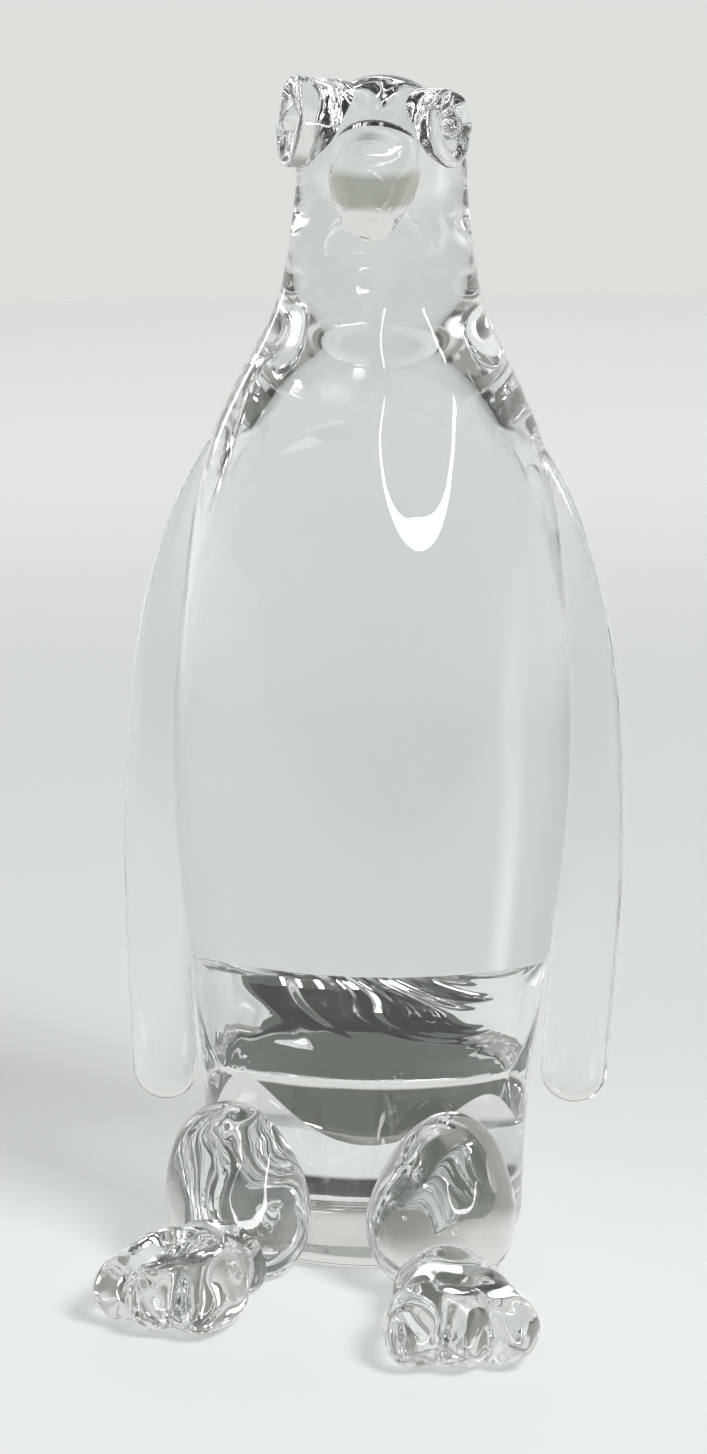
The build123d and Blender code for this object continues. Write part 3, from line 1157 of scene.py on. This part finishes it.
@dataclass
class Foot:
    """An instep and three toes, pressed out in front of a leg, with a dished top. Metres and degrees."""

    leg: Leg
    reach: float
    toe_blend: float
    dish_depth: float
    turn: float = 14.0
    instep_radius: float = 6.6 * MM
    instep_middle: float = 2.5 * MM
    toe_radius: float = 5.2 * MM
    toe_half: float = 11.0 * MM
    toe_out: float = 10.0 * MM
    toe_middle: float = 3.8 * MM
    toe_fan: float = 19.0
    dish_radius: float = 9.0 * MM
    dish_along: float = 12.0 * MM
    heart: Pair = (3.5 * MM, 3.4 * MM)
    softness: float = 0.35 * MM
    lumps: tuple[Pair, ...] = ((0.9 * MM, 6.0 * MM), (0.06 * MM, 2.6 * MM))
    grid: int = 60

    def rays(self) -> tuple[np.ndarray, list[tuple[int, ...]]]:
        """Spreads directions over a rounded cube.

        Returns:
            The directions, and the faces between them by their numbers.
        """
        ticks = np.tan(np.linspace(-np.pi / 4, np.pi / 4, self.grid + 1))
        index: dict[tuple[float, ...], int] = {}
        points: list[Spot] = []
        faces: list[tuple[int, ...]] = []

        def corner(axis: int, sign: int, a: int, b: int) -> int:
            """Finds a grid point on one of the cube's sides, and adds it where it is new.

            Args:
                axis: The axis that the side lies across.
                sign: The end of that axis, 1 or -1.
                a: The point's row.
                b: Its column.

            Returns:
                The point's number.
            """
            spot = [0.0, 0.0, 0.0]
            spot[axis], spot[(axis + 1) % 3], spot[(axis + 2) % 3] = float(sign), ticks[a], ticks[b]
            key = tuple(round(x, 6) for x in spot)
            if key not in index:
                index[key] = len(points)
                points.append(tuple(spot))
            return index[key]

        for axis in range(3):
            for sign in (-1, 1):
                for a in range(self.grid):
                    for b in range(self.grid):
                        cell = ((a, b), (a + 1, b), (a + 1, b + 1), (a, b + 1))
                        quad = [corner(axis, sign, *spot) for spot in cell]
                        faces.append(tuple(quad if sign > 0 else quad[::-1]))
        directions = np.array(points)
        return directions / np.linalg.norm(directions, axis=1, keepdims=True), faces

    def build(self) -> Piece:
        """Shapes the foot by how far it reaches from its heart in each direction.

        Returns:
            The foot before it is cut back to the leg.
        """
        rays, faces = self.rays()
        forward = np.array(turn_about("Z", self.turn) @ Vector((0.0, -1.0, 0.0)))
        spot = self.leg.spot()
        heel = np.array((spot.x, spot.y, 0.0)) + forward * (self.reach - self.toe_out)
        heart = heel + forward * self.heart[0] + np.array((0.0, 0.0, self.heart[1]))

        def leaves(middle: np.ndarray, axes: np.ndarray, sizes: Sequence[float]) -> np.ndarray:
            """Finds where the rays from the heart leave an egg.

            Args:
                middle: The egg's middle.
                axes: Its axes, one in each row.
                sizes: Its half sizes along them.

            Returns:
                A distance for each ray.
            """
            ray = rays @ axes.T / np.array(sizes)
            start = axes @ (heart - middle) / np.array(sizes)
            a, b, c = (ray ** 2).sum(1), ray @ start, start @ start - 1.0
            return (-b + np.sqrt(b * b - a * c)) / a

        forms = [leaves(heel + np.array((0.0, 0.0, self.instep_middle)), np.eye(3), [self.instep_radius] * 3)]
        for fan in (-self.toe_fan, 0.0, self.toe_fan):
            along = np.array(turn_about("Z", self.turn + fan) @ Vector((0.0, -1.0, 0.0)))
            across = np.cross((0.0, 0.0, 1.0), along)
            axes = np.array((along, across, (0.0, 0.0, 1.0)))
            middle = heel + along * self.toe_out + np.array((0.0, 0.0, self.toe_middle))
            forms.append(leaves(middle, axes, (self.toe_half, self.toe_radius, self.toe_radius)))
        reach = self.toe_blend * np.log(np.exp(np.array(forms) / self.toe_blend).sum(0))
        top = self.toe_middle + self.toe_radius + self.dish_radius - self.dish_depth
        dish = heel + forward * self.dish_along + np.array((0.0, 0.0, top))
        start = heart - dish
        b, c = rays @ start, start @ start - self.dish_radius ** 2
        meets = (b < 0) & (b * b > c)
        scoop = np.where(meets, -b - np.sqrt(np.maximum(b * b - c, 0.0)), 1.0)
        floor = np.where(rays[:, 2] < 0, heart[2] / np.maximum(-rays[:, 2], 1e-6), 1.0)
        soft = self.softness
        reach = -soft * np.log(sum(np.exp(-x / soft) for x in (reach, scoop, floor)))
        made = new_piece(f"{self.leg.side.name.lower()}_foot_bit", heart + rays * reach[:, None], faces)
        plain_mesh(place(made, Matrix.Identity(4), self.leg.side))
        points = vertices(made)
        points[:, 2] -= points[:, 2].min()
        put_vertices(made, points)
        return knead(made, *self.lumps, floor=STANDING)


@dataclass
class Tail:
    """A narrow wedge pulled out of the lower back, with tool marks and a dent. Metres and degrees.

    Folds and lines are a pitch and a height, sways and the wander a width and a period.
    """

    turn: float = 8.6
    half_width: float = 5.0 * MM
    half_height: float = 23.0 * MM
    height: float = 32.0 * MM
    tip_height: float = 15.5 * MM
    tip: float = 36.05 * MM
    root: float = 17.05 * MM
    upper_slope: float = 53.0
    lower_slope: float = 36.0
    ridge_rounding: float = 0.5 * MM
    rim_rounding: float = 0.35 * MM
    folds: Pair = (2.6 * MM, 0.012 * MM)
    lines: Pair = (0.8 * MM, 0.004 * MM)
    slant: float = 0.4
    sway: Pair = (0.6 * MM, 2.9 * MM)
    fine_sway: Pair = (0.3 * MM, 1.3 * MM)
    fine_cross: float = 1.1 * MM
    wander: Pair = (1.7, 1.9 * MM)
    dent_at: Pair = (2.2 * MM, 17.5 * MM)
    dent_reach: Pair = (1.7 * MM, 3.4 * MM)
    dent_depth: float = 0.36 * MM
    sink: float = 1.0 * MM
    count: int = 240
    rings: int = 90
    side_rings: int = 12

    def outside(self, x: np.ndarray, z: np.ndarray, rim: np.ndarray) -> np.ndarray:
        """How far the tail's outside lies behind the figure's axis.

        Args:
            x: Places across, from the tail's middle.
            z: Heights.
            rim: Distances inside the tail's outline.

        Returns:
            The places along Y.
        """
        above = (z - self.tip_height) / math.tan(math.radians(self.upper_slope))
        below = (self.tip_height - z) / math.tan(math.radians(self.lower_slope))
        soft = self.ridge_rounding
        depth = self.tip - soft * np.logaddexp(above / soft, below / soft)
        (wide, long), (fine, short), (turn, period) = self.sway, self.fine_sway, self.wander
        drift = wide * np.sin(z / long) + fine * np.sin(z / short + x / self.fine_cross)
        for pitch, height in (self.folds, self.lines):
            phase = 2 * np.pi * (x + self.slant * z + drift) / pitch
            depth += height * np.cos(phase + turn * np.sin(x / period))
        (across, up), (broad, tall) = self.dent_at, self.dent_reach
        depth -= self.dent_depth * np.exp(-((x - across) / broad) ** 2 - ((z - up) / tall) ** 2)
        edge = np.clip(1.0 - rim / self.rim_rounding, 0.0, 1.0)
        return np.maximum(depth - self.rim_rounding * (1.0 - np.sqrt(1.0 - edge ** 2)), self.root)

    def build(self) -> Piece:
        """Lays rings over the outside, down the rim and over the root, and sets the tail on the lower back.

        Returns:
            The tail before it is cut back to the body.
        """
        around = np.linspace(0.0, 2 * np.pi, self.count, endpoint=False)
        across, up = self.half_width * np.cos(around), self.half_height * np.sin(around)
        inner = self.root - self.sink
        outer = []
        for share in np.sin(np.linspace(0.0, np.pi / 2, self.rings))[1:]:
            x, z = share * across, self.height + share * up
            rim = np.full_like(x, (1.0 - share) * self.half_width)
            outer.append(np.stack([x, self.outside(x, z, rim), z], axis=1))
        edge = outer[-1]
        for k in range(1, self.side_rings + 1):
            outer.append(edge + np.array((0.0, 1.0, 0.0)) * (inner - edge) * k / self.side_rings)
        outer.append(np.stack([0.5 * across, np.full_like(across, inner), self.height + 0.5 * up], axis=1))
        middle = np.array([0.0]), np.array([self.height]), np.array([self.half_width])
        poles = [(0.0, float(self.outside(*middle)[0]), self.height), (0.0, inner, self.height)]
        points = np.concatenate([*outer, poles])
        n, last = self.count, (len(outer) - 1) * self.count
        faces: list[tuple[int, ...]] = []
        for j in range(n):
            k = (j + 1) % n
            faces += [(len(points) - 2, j, k), (len(points) - 1, last + k, last + j)]
            faces += [(r + j, r + k, r + n + k, r + n + j) for r in range(0, last, n)]
        made = plain_mesh(new_piece("tail_bit", points, faces))
        return place(made, turn_about("Z", self.turn))


@dataclass
class Figurine:
    """The whole figure. Feet are a reach, a blend of the toes and a depth of the dish. Metres and degrees."""

    gather_finish: GlassFinish = GlassFinish(
        "clear_gather", melt=(0.955, 0.968, 0.96), cord=(0.93, 0.95, 0.935), ripple_size=14.0 * MM,
        ripple_depth=0.004 * MM, cord_size=9.0 * MM, drawn_out=3.0, bloom=0.012)
    bit_finish: GlassFinish = GlassFinish(
        "clear_bit", melt=(0.975, 0.985, 0.98), cord=(0.95, 0.97, 0.955), ripple_size=3.5 * MM,
        ripple_depth=0.008 * MM, cord_size=4.0 * MM, drawn_out=1.5, bloom=0.012)
    # The beak's lower half carries painted shade, a darker tint for the dark view through it.
    beak_finish: GlassFinish = replace(
        bit_finish, name="painted_shade_bit", ripple_size=3.0 * MM, ripple_depth=0.02 * MM, painted_shade_tint=(0.34, 0.35, 0.26),
        painted_shade_heights=(135.8 * MM, 140.6 * MM))
    flipper_tips: dict[Side, float] = both(17.5 * MM, 14.0 * MM)
    splays: dict[Side, float] = both(7.0, 18.0)
    feet: dict[Side, Spot] = both((22.5 * MM, 0.35 * MM, 0.6 * MM), (17.5 * MM, 0.8 * MM, 2.2 * MM))

    def build(self) -> None:
        """Builds, fuses and dresses every piece."""
        turner, fusing, marks = Turner(), Fusing(), hand_worked_group()
        finishes = (self.gather_finish, self.bit_finish, self.beak_finish)
        gather, bit, shaded_beak_glass = (finish.material(marks) for finish in finishes)
        gathers, face = Gathers(), Face()
        pieces = gathers.build(turner)
        body, head = pieces["body"], pieces["head"]
        pieces["beak"] = face.beak(turner)
        fusing.join(pieces["beak"], head)
        for side in Side:
            name = side.name.lower()
            eye, bead = face.eye(turner, side), face.bead(turner, side)
            fusing.join(eye, head)
            fusing.join(bead, eye)
            flipper = Flipper(side, self.flipper_tips[side]).build(gathers)
            fusing.join(flipper, body)
            stance = Leg(side, self.splays[side])
            leg = stance.build(turner)
            fusing.join(leg, body)
            foot = Foot(stance, *self.feet[side]).build()
            fusing.join(foot, leg)
            pieces.update({f"{name}_eye": eye, f"{name}_pupil": bead, f"{name}_flipper": flipper,
                           f"{name}_leg": leg, f"{name}_foot": foot})
        pieces["tail"] = Tail().build()
        fusing.join(pieces["tail"], body)
        for node, piece in pieces.items():
            is_gather = node in ("body", "head")
            glass = gather if is_gather else shaded_beak_glass if node == "beak" else bit
            dress(piece, node, glass, fusing.seam)


@dataclass
class Studio:
    """The table, the light and the camera. Metres and degrees."""

    table_low: Pair = (-1.6, -1.8)
    table_high: Pair = (1.6, 0.675)
    table_turn: float = 17.4
    table_drop: float = 0.15 * MM
    camera_at: Spot = (0.0939, -0.5926, 0.2303)
    camera_turn: float = 9.238
    camera_pitch: float = 15.27
    camera_roll: float = 0.9
    lens: float = 120.33
    wall: Colour = (0.735, 0.735, 0.71)
    ceiling: Colour = (0.34, 0.35, 0.32)
    room: Colour = (0.125, 0.138, 0.118)
    wall_top: float = 0.42
    wall_edge: float = 0.15
    room_from: Pair = (-0.5, 0.1)
    lamp_aim: float = 0.09
    key_power: float = 42.0
    fill_power: float = 23.0
    shade: float = 0.65
    strip_aim: float = 0.095
    strip_distance: float = 1.15
    bounces: int = 48
    clear_bounces: int = 32

    def towards(self, turn: float, rise: float) -> Vector:
        """Finds a direction away from the figure.

        Args:
            turn: Degrees to the right of the camera's side.
            rise: Degrees above the table.

        Returns:
            The direction.
        """
        around, up = math.radians(self.camera_turn + turn), math.radians(rise)
        return Vector((math.sin(around) * math.cos(up), -math.cos(around) * math.cos(up), math.sin(up)))

    def table(self) -> None:
        """Lays the table top."""
        (x0, y0), (x1, y1) = self.table_low, self.table_high
        z = -self.table_drop
        made = new_piece("table", [(x0, y0, z), (x1, y0, z), (x1, y1, z), (x0, y1, z)], [(0, 1, 2, 3)])
        made.data.materials.append(TableFinish(self.table_turn).material())
        made.rotation_euler.z = math.radians(self.table_turn)

    def lamp(self, name: str, turn: float, rise: float, distance: float, size: float, power: float,
             shadow: bool) -> None:
        """Hangs a round soft lamp that faces the figure. Only a shaded one shows through the glass.

        Args:
            name: The lamp's name.
            turn: Degrees to the right of the camera's side.
            rise: Degrees above the table.
            distance: Distance from the figure's chest.
            size: Diameter.
            power: Watts.
            shadow: Whether the figure shades it. Clear glass passes light on, so some of it isn't shaded.
        """
        data = bpy.data.lights.new(name, "AREA")
        data.shape, data.size, data.energy, data.use_shadow = "DISK", size, power, shadow
        made = bpy.data.objects.new(name, data)
        bpy.context.scene.collection.objects.link(made)
        away = self.towards(turn, rise)
        made.location = Vector((0.0, 0.0, self.lamp_aim)) + away * distance
        made.rotation_euler = away.to_track_quat("Z", "Y").to_euler()
        made.visible_camera = made.visible_glossy = False
        made.visible_transmission = shadow

    def strip(self, name: str, knots: Sequence[Spot], strength: float, skips: str = "") -> None:
        """Stands a glowing strip round the figure, which shows only on the glass.

        Args:
            name: The strip's name.
            knots: Degrees to the right of the camera's side and up, along its middle, and its half width.
            strength: Its brightness.
            skips: The one piece that it doesn't show on, if any.
        """
        chest = Vector((0.0, 0.0, self.strip_aim))
        path = smooth_path(np.array(knots), steps=8)
        points, faces = [], []
        for k, (turn, rise, wide) in enumerate(path.tolist()):
            before, after = path[max(k - 1, 0)], path[min(k + 1, len(path) - 1)]
            along = np.array((after[0] - before[0], after[1] - before[1]))
            across = np.array((-along[1], along[0])) / np.linalg.norm(along)
            for shift in (-wide, wide):
                away = self.towards(turn + across[0] * shift, rise + across[1] * shift)
                points.append(chest + self.strip_distance * away)
            if k:
                faces.append((2 * k - 2, 2 * k, 2 * k + 1, 2 * k - 1))
        made = new_piece(name, points, faces)
        glow, w = bare_material(f"{name}_glow")
        w.surface("ShaderNodeEmission", {"Color": (1.0, 1.0, 1.0, 1.0), "Strength": strength})
        made.data.materials.append(glow)
        made.visible_camera = made.visible_diffuse = made.visible_transmission = made.visible_shadow = False
        if skips:
            shown = bpy.data.collections.new(f"{name}_shows_on")
            for piece in bpy.context.scene.objects:
                if piece.type == "MESH" and piece.name.endswith(("_bit", "_gather")) and piece.name != skips:
                    shown.objects.link(piece)
            made.light_linking.receiver_collection = shown

    def strips(self) -> None:
        """Puts up the lights that the glass mirrors: the chest's horseshoe and the one on the left shoulder."""
        self.strip("horseshoe", [
            (6.0, 43.5, 0.5), (2.5, 39.5, 0.7), (2.3, 33.0, 0.8), (6.5, 19.0, 1.1), (15.0, 10.5, 2.2),
            (26.0, 8.0, 3.4), (37.6, 9.0, 2.8), (47.0, 14.5, 1.6), (55.0, 23.5, 1.1), (64.0, 31.0, 0.9),
            (72.0, 33.5, 0.7)], strength=15.0, skips="head_gather")
        self.strip("left_shoulder", [(-147.0, -2.0, 2.0), (-147.0, 3.0, 3.0), (-147.0, 9.0, 2.0)], strength=4.0)

    def world(self) -> None:
        """Puts a pale wall round the figure. Other rays than the camera's meet a dark room in front of it.

        Those rays also meet a darker ceiling over the wall behind it.
        """
        world = bpy.data.worlds.new("pale_room")
        bpy.context.scene.world = world
        world.use_nodes = True
        world.node_tree.nodes.clear()
        w = Wiring(world.node_tree)
        way, ray = w.add("ShaderNodeTexCoord").outputs["Generated"], w.add("ShaderNodeLightPath").outputs
        low, high = self.wall_top - self.wall_edge, self.wall_top + self.wall_edge
        rise = w.ramp(w.part_of(way, 2), low, high, smooth=True)
        front = w.add("ShaderNodeVectorMath", {0: way, 1: self.towards(0.0, 0.0)}, operation="DOT_PRODUCT")
        near = w.ramp(front.outputs["Value"], *self.room_from, smooth=True)
        back = w.mix(rise, self.wall, w.mix(ray["Is Diffuse Ray"], self.ceiling, self.room))
        seen = w.mix(ray["Is Camera Ray"], w.mix(near, back, self.room), self.wall)
        sky = w.add("ShaderNodeBackground", {"Color": seen, "Strength": 1.0})
        w.add("ShaderNodeOutputWorld", {"Surface": sky.outputs[0]})

    def camera(self) -> None:
        """Sets the camera at the photograph's place."""
        data = bpy.data.cameras.new("camera")
        data.lens, data.sensor_width, data.sensor_fit = self.lens, 36.0, "AUTO"
        data.clip_start, data.clip_end = 0.01, 20.0
        made = bpy.data.objects.new("camera", data)
        bpy.context.scene.collection.objects.link(made)
        aim = turn_about("Z", self.camera_turn) @ turn_about("X", 90.0 - self.camera_pitch)
        made.matrix_world = Matrix.Translation(self.camera_at) @ aim @ turn_about("Z", self.camera_roll)
        bpy.context.scene.camera = made

    def build(self) -> None:
        """Sets up the whole studio."""
        self.table()
        for name, share, shadow in (("key_shaded", self.shade, True), ("key_passed", 1.0 - self.shade, False)):
            self.lamp(name, turn=50.0, rise=48.0, distance=2.2, size=0.9, power=share * self.key_power,
                      shadow=shadow)
        self.lamp("fill", turn=-60.0, rise=60.0, distance=2.4, size=1.2, power=self.fill_power, shadow=False)
        self.strips()
        self.world()
        self.camera()
        scene = bpy.context.scene
        scene.view_settings.view_transform = "Standard"
        cycles = scene.cycles
        cycles.max_bounces = cycles.glossy_bounces = cycles.transmission_bounces = self.bounces
        cycles.transparent_max_bounces = self.clear_bounces


def main() -> None:
    logging.basicConfig(level=logging.INFO, format="%(name)s: %(message)s")
    Figurine().build()
    Studio().build()


if __name__ == "__main__":
    main()
